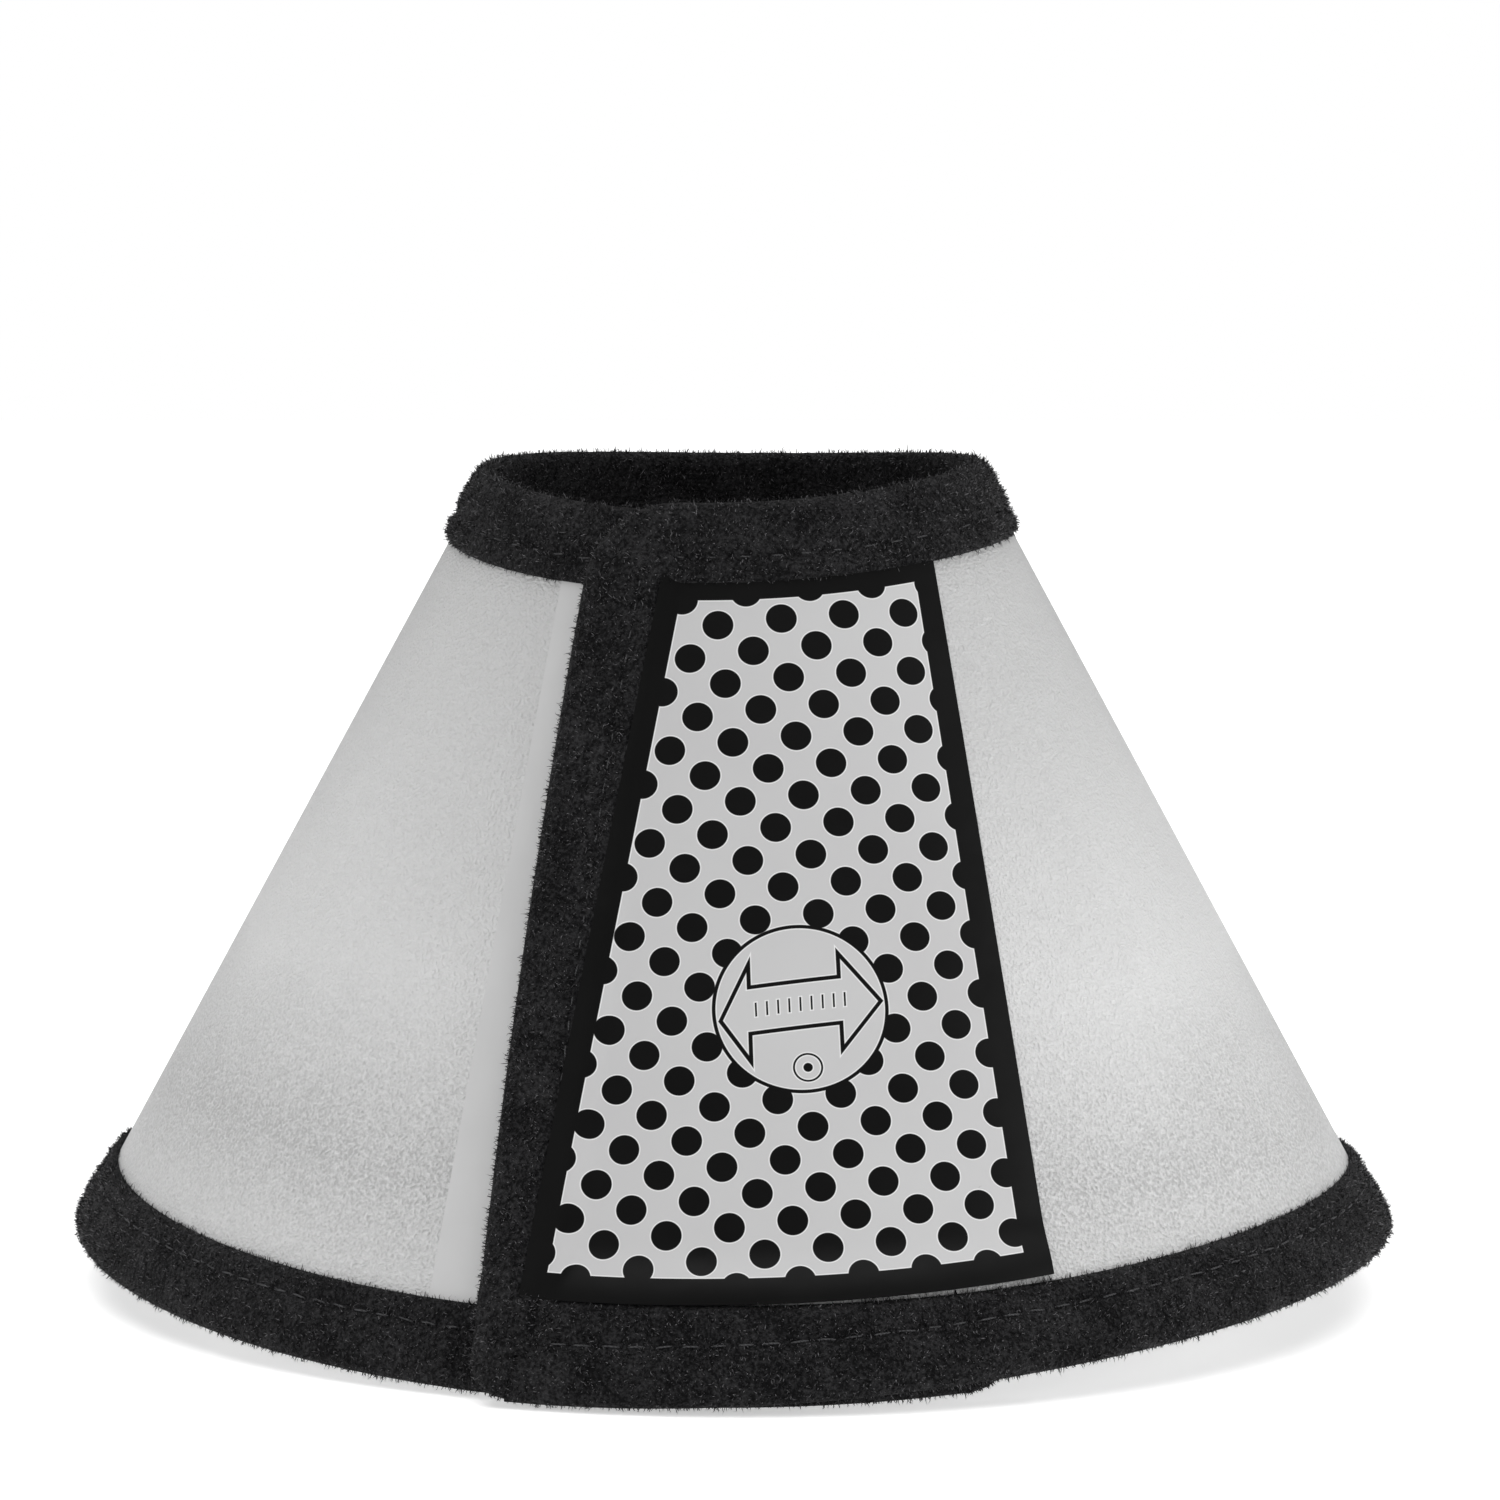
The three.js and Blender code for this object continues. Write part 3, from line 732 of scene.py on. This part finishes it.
def stitch_row(path, inward, face, sunk):
    """Closed dashes along a row: seven rings of six points each round a middle line that arches
    up from a height of sunk between its two needle holes, and small caps at both ends."""
    length = (len(path) - 1) * COLUMN
    middle = np.arange(3.5, length - 3.5, STITCH_PITCH)
    middle = middle + draw.normal(0, 0.12, len(middle))
    share = np.array([-1, -0.94, -0.5, 0, 0.5, 0.94, 1])
    gone = middle[:, None] + share * STITCH_LENGTH / 2
    stops = np.arange(len(path)) * COLUMN
    line = path + inward * STITCH_LINE
    flat = np.stack([np.interp(gone, stops, line[:, axis]) for axis in (0, 1)], -1)
    aside = np.stack([np.interp(gone, stops, inward[:, axis]) for axis in (0, 1)], -1)
    flat = flat + aside * (draw.normal(0, 0.1, (len(middle), 1)) * share)[..., None]
    height = face * (sunk + STITCH_ARCH * (1 - share**2) * np.ones((len(middle), 1)))
    centre = rolled(flat, height)
    across = rolled(flat + aside * 0.1, height) - centre
    across /= np.linalg.norm(across, axis=-1, keepdims=True)
    ahead = np.gradient(centre, axis=1)
    ahead /= np.linalg.norm(ahead, axis=-1, keepdims=True)
    up = np.cross(ahead, across)
    angle = np.radians(np.arange(0, 360, 60))
    radius = THREAD_RADIUS * np.array([0.05, 0.7, 1, 1, 1, 0.7, 0.05])
    rings = centre[:, :, None] + radius[:, None, None] * (
        across[:, :, None] * np.cos(angle)[:, None] + up[:, :, None] * np.sin(angle)[:, None])
    count, turns = len(share), len(angle)
    corner = (np.arange(count - 1)[:, None] * turns + np.arange(turns)).ravel()
    after = (np.arange(count - 1)[:, None] * turns + (np.arange(turns) + 1) % turns).ravel()
    one = np.stack([corner, after, after + turns, corner + turns], -1)
    caps = np.array([[0, 5, 4, 3], [0, 3, 2, 1]])
    one = np.concatenate([one, caps, caps[:, ::-1] + (count - 1) * turns])
    points = rings.reshape(-1, 3)
    faces = (one[None] + (np.arange(len(middle)) * count * turns)[:, None, None]).reshape(-1, 4)
    return points, outward_faces(points, faces)


for panel, neck, rim in stitched:
    own = CAD_PANEL[panel]
    for place, (path, inward) in (("neck", neck), ("rim", rim)):
        rows = [stitch_row(path, inward, face, ROW_HEIGHT[place]) for face in (1, -1)]
        points = np.concatenate([row[0] for row in rows])
        faces = np.concatenate([rows[0][1], rows[1][1] + len(rows[0][0])])
        row = make_piece(f"stitches_{place}_{panel}", points, [faces], thread.material)
        extra = {"flap": ["flap_end_stitching"], "inner_end": ["inner_end_stitching"]}.get(panel, [])
        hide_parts(f"{place}_stitching_{own}", *(extra if place == "neck" else []))
        carry(row, panel)


# ----------------------------------------------------------------------------------- print label
# A glossy film label welded to the outside of the flap. Its silver-grey ground is printed with
# black dots in staggered rows inside a black border, each black shape with a fine light rim. A
# round emblem holds an outlined double arrow, which says that the flap slides to adjust.

LABEL_THICK = 0.35
LABEL_HEIGHT, OVER_FLEECE = 0.62, 1.15
WINDOW_LEFT = np.array([[-8.0, 102.7], [-29.9, 210.6]])
WINDOW_RIGHT = np.array([[30.4, 99.5], [44.7, 208.6]])
WINDOW_TOP, WINDOW_FOOT = 101.1, 213.1
DOT_PITCH = 7.0
DOT_RADIUS = 2.42
DOT_START, DOT_TURN, DOT_SLANT = 105.897, 0.2647, 0.6235
EMBLEM = np.array([10.1, 169.2])
EMBLEM_RADIUS = 13.55
ARROW_TILT, ARROW_LEAN = math.radians(-7.1), 0.095
LEFT_HEAD = np.array([[-7.9, -8.3], [-12.6, 0.3], [-8.1, 7.6]])
RIGHT_HEAD = np.array([[6.3, 7.4], [12.7, 0.1], [6.2, -8.4]])
SHAFT = np.array([[-9.3, -4.55], [-9.3, 3.0], [7.5, 3.0], [7.5, -4.55]])
TICK_PITCH, TICK_MIDDLE, TICK_HALF, TICK_REACH = 1.75, -0.8, 1.15, 7.2
RING = (1.0, 9.6)
HALO = 0.17

film = Finish("label_film")
pattern = film.node("ShaderNodeUVMap", {"uv_map": "flat_pattern"}, {})
flat_x = film.node("ShaderNodeSeparateXYZ", {}, {0: pattern}, 0) * 1000
flat_y = film.node("ShaderNodeSeparateXYZ", {}, {0: pattern}, 1) * 1000
slant = (flat_x * flat_x + flat_y * flat_y).root()


def beside(start, stop, x=flat_x, y=flat_y):
    """The signed distance from a line between two points. It is positive to the left of one
    that goes down, which is outside a shape whose corners go left from its top."""
    way = (stop - start) / np.linalg.norm(stop - start)
    return y * float(way[0]) - x * float(way[1]) + float(start[0] * way[1] - start[1] * way[0])


def outline(corners, x, y):
    """The signed distance to a shape with straight sides: the largest of those to its sides."""
    distance = beside(corners[-1], corners[0], x, y)
    for start, stop in zip(corners[:-1], corners[1:]):
        distance = distance.most(beside(start, stop, x, y))
    return distance


# The dots stand on a square grid that is turned, so that its rows run aslant. The distance is to
# the nearest of them.
c, s = math.cos(DOT_TURN), math.sin(DOT_TURN)
grid_x, grid_y = flat_x * c - flat_y * s, flat_x * s + flat_y * c - DOT_START
c, s = math.cos(DOT_SLANT) / DOT_PITCH, math.sin(DOT_SLANT) / DOT_PITCH
row, rank = grid_y * s - grid_x * c, grid_x * s + grid_y * c
row, rank = (row - row.nearest_whole()) * DOT_PITCH, (rank - rank.nearest_whole()) * DOT_PITCH
dots = (row * row + rank * rank).root() - DOT_RADIUS
window = (slant - WINDOW_TOP).least(WINDOW_FOOT - slant)
window = window.least(beside(*WINDOW_LEFT) * -1).least(beside(*WINDOW_RIGHT))

# The emblem has its own axes: along the arrow, which is tilted and leans a little, and down it.
from_x, from_y = flat_x - float(EMBLEM[0]), flat_y - float(EMBLEM[1])
emblem = (from_x * from_x + from_y * from_y).root() - EMBLEM_RADIUS
c, s = math.cos(ARROW_TILT), math.sin(ARROW_TILT)
down_it = from_y * c - from_x * s
along_it = from_x * c + from_y * s + down_it * ARROW_LEAN
arrow = outline(LEFT_HEAD, along_it, down_it).least(outline(RIGHT_HEAD, along_it, down_it))
arrow = arrow.least(outline(SHAFT, along_it, down_it))
tick = (along_it * (1 / TICK_PITCH) - (along_it * (1 / TICK_PITCH)).nearest_whole()).size() * TICK_PITCH
ticks = (tick - 0.16).most((down_it - TICK_MIDDLE).size() - TICK_HALF).most(along_it.size() - TICK_REACH)
ring_x, ring_y = from_x - RING[0], from_y - RING[1]
ring = (ring_x * ring_x + ring_y * ring_y).root()
signs = (arrow.size() - 0.34).least(ticks).least((ring - 2.2).size() - 0.17).least(ring - 0.75)
black = window.least(dots.most(emblem * -1)).least(emblem.size() - 0.3).least(signs)

wear = film.noise(60, 3)
ground = film.mix(film.noise(26, 2), (0.40, 0.395, 0.40, 1), (0.45, 0.452, 0.452, 1))
ground = film.mix(black.below(HALO, 0.06), ground, grey(0.62))
film.put(film.shader, {
    "Base Color": film.mix(black.below(0, 0.05), ground, grey(0.0015)),
    "Roughness": 0.3 + 0.12 * wear,
    "Specular IOR Level": 0.14,
    "Normal": film.bump(film.noise(95, 2), 0.0005, 0.35),
})

share = np.linspace(0, 1, 150)[:, None, None]
left = LABEL_LEFT[0] * (1 - share) + LABEL_LEFT[1] * share
right_side = LABEL_RIGHT[0] * (1 - share) + LABEL_RIGHT[1] * share
step = np.linspace(0, 1, 90)[None, :]
turn = np.arctan2(left[..., 0], left[..., 1]) * (1 - step)
turn = turn + np.arctan2(right_side[..., 0], right_side[..., 1]) * step
reach = np.linalg.norm(left, axis=-1) * (1 - step) + np.linalg.norm(right_side, axis=-1) * step
cut = np.stack([reach * np.sin(turn), reach * np.cos(turn)], -1)
end_line = on_pattern(np.full(reach.shape, FLAP_END), reach)
from_fold = reach * (turn - np.arctan2(end_line[..., 0], end_line[..., 1])) + FOLD_OUT
height = LABEL_HEIGHT + OVER_FLEECE * (1 - smoothstep((from_fold - 12.6) / 4))
height = np.maximum(height, LABEL_HEIGHT + OVER_FLEECE * smoothstep((reach - 207.5) / 9.5))
points, skins, walls = plate(cut, height - LABEL_THICK / 2, height + LABEL_THICK / 2)
label = make_piece("dotted_label", points, [skins, walls], film.material, [1])
both = np.concatenate([cut.reshape(-1, 2)] * 2) / 1000
corners = np.empty(len(label.data.loops), np.int32)
label.data.loops.foreach_get("vertex_index", corners)
pattern_map = label.data.uv_layers.new(name="flat_pattern")
pattern_map.uv.foreach_set("vector", both[corners].astype(np.float32).ravel())
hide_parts("printed_label")
carry(label, "flap")


# ------------------------------------------------------------------------------------ hook patch
# A clear moulded hook strip welded to the outside of the inner end, where the flap lands. It has
# a plain margin, which shows beside the flap, and then rows of small bent hooks.

STRIP_FOOT, STRIP_TOP = 0.32, 0.62
HOOK_PITCH = 2.1
HOOK_TALL = 1.0

hooks_finish = Finish("clear_hook")
streak = hooks_finish.noise(90, 2)
hooks_finish.put(hooks_finish.shader, {
    "Base Color": hooks_finish.mix(streak, grey(0.53), grey(0.60)),
    "Roughness": 0.3 + 0.15 * streak,
    "Normal": hooks_finish.bump(hooks_finish.noise(700, 1), 0.00004, 0.5),
})
hooks_finish.let_through(LIGHT_THROUGH, grey(0.76))


def hook_place(share, step):
    """A place on the strip: share of the way down it, and step of the way from its straight,
    leaning edge to the inner end's tape."""
    edge = np.stack([-28.9 - 23.4 * share, 90.5 + 122.5 * share], -1)
    slant = np.hypot(edge[..., 0], edge[..., 1])
    start = np.arctan2(edge[..., 0], edge[..., 1]) + turn_at(360)
    stop = turn_at(INNER_END) - (TAPE_EDGE - 0.5) / slant
    turn = start * (1 - step) + stop * step
    return np.stack([slant * np.sin(turn), slant * np.cos(turn)], -1)


share, step = np.meshgrid(np.linspace(-0.03, 1, 60), np.linspace(0, 1, 60), indexing="ij")
foot_height, top_height = (np.full(share.shape, height) for height in (STRIP_FOOT, STRIP_TOP))
points, skins, walls = plate(hook_place(share, step), foot_height, top_height)
rows_down, rows_across = np.meshgrid(
    np.arange(0.08, 0.97, HOOK_PITCH / 122), np.arange(0.3, 0.97, HOOK_PITCH / 62), indexing="ij")
foot = hook_place(rows_down.ravel(), rows_across.ravel())
bent = np.where(np.arange(rows_down.shape[1]) % 2 == 0, 1, -1) * np.ones(rows_down.shape)
bent = bent.ravel()
base = rolled(foot, np.full(len(foot), 0.5))
out = rolled(foot, np.full(len(foot), 1.5)) - base
aside = rolled(foot + np.array([0.1, 0]), np.full(len(foot), 0.5)) - base
aside /= np.linalg.norm(aside, axis=1, keepdims=True)
onward = np.cross(out, aside)
# a hook's middle line rises and turns over to one side, thinning as it goes
profile = np.array([
    [0, 0, 0.3], [0, 0.55, 0.2], [0.12, 0.85, 0.17], [0.38, 1.0, 0.15], [0.62, 0.88, 0.1]])
angle = np.radians([45, 135, 225, 315])
rise = profile[:, 1] * HOOK_TALL
sideways = (profile[:, 0] * bent[:, None])[..., None]
centre = base[:, None] + out[:, None] * rise[:, None] + onward[:, None] * sideways
tangent = np.gradient(centre, axis=1)
tangent /= np.linalg.norm(tangent, axis=-1, keepdims=True)
upright = np.cross(aside[:, None], tangent)
rings = centre[:, :, None] + profile[:, 2][:, None, None] * (
    aside[:, None, None] * np.cos(angle)[:, None] + upright[:, :, None] * np.sin(angle)[:, None])
corner = (np.arange(4)[:, None] * 4 + np.arange(4)).ravel()
after = (np.arange(4)[:, None] * 4 + (np.arange(4) + 1) % 4).ravel()
sides = np.stack([corner, after, after + 4, corner + 4], -1)
one = np.concatenate([sides, [[3, 2, 1, 0], [16, 17, 18, 19]]])
hook_faces = (one[None] + (np.arange(len(foot)) * 20)[:, None, None]).reshape(-1, 4)
hook_points = rings.reshape(-1, 3)
hook_faces = outward_faces(hook_points, hook_faces)
strip = make_piece(
    "hook_strip", np.concatenate([points, hook_points]), [skins, walls, hook_faces + len(points)],
    hooks_finish.material, [1])
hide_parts("hook_patch")
carry(strip, "inner_end")


# ------------------------------------------------------------------------------------ loop patch
# A panel of black loop fabric welded inside the flap, behind the label. Its looped pile is soft
# and uneven, and the hooks catch in it.

loop_finish = Finish("black_loop")
knit = loop_finish.noise(1100, 2, 0.6)
loop_finish.put(loop_finish.shader, {
    "Base Color": loop_finish.mix(knit, (0.006, 0.006, 0.007, 1), (0.05, 0.05, 0.052, 1)),
    "Roughness": 0.8 + 0.15 * knit,
    "Sheen Weight": 0.15,
    "Normal": loop_finish.bump(knit, 0.0004, 0.9),
})
share, step = np.meshgrid(np.linspace(0, 1, 90), np.linspace(0, 1, 60), indexing="ij")
slants = 99 + (216.5 - 99) * share
end_line = on_pattern(np.full(slants.shape, FLAP_END), slants)
start = np.arctan2(end_line[..., 0], end_line[..., 1]) + (TAPE_EDGE - 0.5) / slants
far = LABEL_RIGHT[0] + (LABEL_RIGHT[1] - LABEL_RIGHT[0]) * ((slants[..., None] - 97.6) / (217.4 - 97.6))
stop = np.arctan2(far[..., 0], far[..., 1]) - 1.5 / slants
turn = start * (1 - step) + stop * step
cut = np.stack([slants * np.sin(turn), slants * np.cos(turn)], -1)
pile = 1.05 + 0.12 * lumps(rolled(cut, np.zeros(slants.shape)), 1.1)
points, skins, walls = plate(cut, -pile, np.full(slants.shape, -0.32))
hair, hair_quads, hair_tips = nap(rolled(cut, -pile), 1, 9000, np.ones((89, 59)))
loop = make_piece(
    "loop_panel", np.concatenate([points, hair]),
    [skins, walls, hair_quads + len(points), hair_tips + len(points)],
    loop_finish.material, [1])
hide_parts("loop_patch")
carry(loop, "flap")


# --------------------------------------------------------------------------------- floor and light
# A plain white table top that glows a little, as one lit from below does, in a white surround.
# Two soft lamps stand low, the key on the right and a fill on the left, under a broad soft light.

TABLE_HALF, TABLE_BELOW, TABLE_GLOW = 1.2, 0.0002, 0.5
SURROUND_LIGHT = 0.3
OVERHEAD_LIGHT, OVERHEAD_SPREAD = 2.6, math.radians(70)
LAMP_TARGET = (0, 0, 0.06)

floor_finish = Finish("white_table")
floor_finish.put(floor_finish.shader, {
    "Base Color": grey(0.93),
    "Roughness": 0.12 + 0.04 * floor_finish.noise(3, 1),
    "Specular IOR Level": 0.05,
    "Emission Color": grey(1.0),
    "Emission Strength": TABLE_GLOW,
})
floor_mesh = bpy.data.meshes.new("table_top")
table_top = [
    (x * TABLE_HALF, y * TABLE_HALF, -TABLE_BELOW) for x, y in ((-1, -1), (1, -1), (1, 1), (-1, 1))]
floor_mesh.from_pydata(table_top, [], [(0, 1, 2, 3)])
floor_mesh.materials.append(floor_finish.material)
floor = bpy.data.objects.new("table_top", floor_mesh)
bpy.context.scene.collection.objects.link(floor)

world = bpy.data.worlds.new("white_surround")
world.use_nodes = True
backdrop = world.node_tree.nodes["Background"]
backdrop.inputs["Color"].default_value = (1, 1, 1, 1)
seen = world.node_tree.nodes.new("ShaderNodeLightPath")
level = world.node_tree.nodes.new("ShaderNodeMapRange")
level.inputs["To Min"].default_value = SURROUND_LIGHT
level.inputs["To Max"].default_value = 1.0
world.node_tree.links.new(seen.outputs["Is Camera Ray"], level.inputs["Value"])
world.node_tree.links.new(level.outputs["Result"], backdrop.inputs["Strength"])
bpy.context.scene.world = world
bpy.context.scene.view_settings.view_transform = "Standard"

# each lamp's place, width and power
LAMPS = {
    "key": ((0.62, -0.30, 0.16), 0.36, 2.4),
    "fill": ((-0.62, -0.30, 0.16), 0.36, 1.5),
}
for name, (place, width, power) in LAMPS.items():
    lamp = bpy.data.lights.new(name, "AREA")
    lamp.size, lamp.energy = width, power
    holder = bpy.data.objects.new(name, lamp)
    holder.location = place
    holder.rotation_mode = "QUATERNION"
    holder.rotation_quaternion = (Vector(LAMP_TARGET) - Vector(place)).to_track_quat("-Z", "Y")
    holder.visible_camera = False
    bpy.context.scene.collection.objects.link(holder)
overhead = bpy.data.lights.new("overhead", "SUN")
overhead.energy, overhead.angle = OVERHEAD_LIGHT, OVERHEAD_SPREAD
bpy.context.scene.collection.objects.link(bpy.data.objects.new("overhead", overhead))
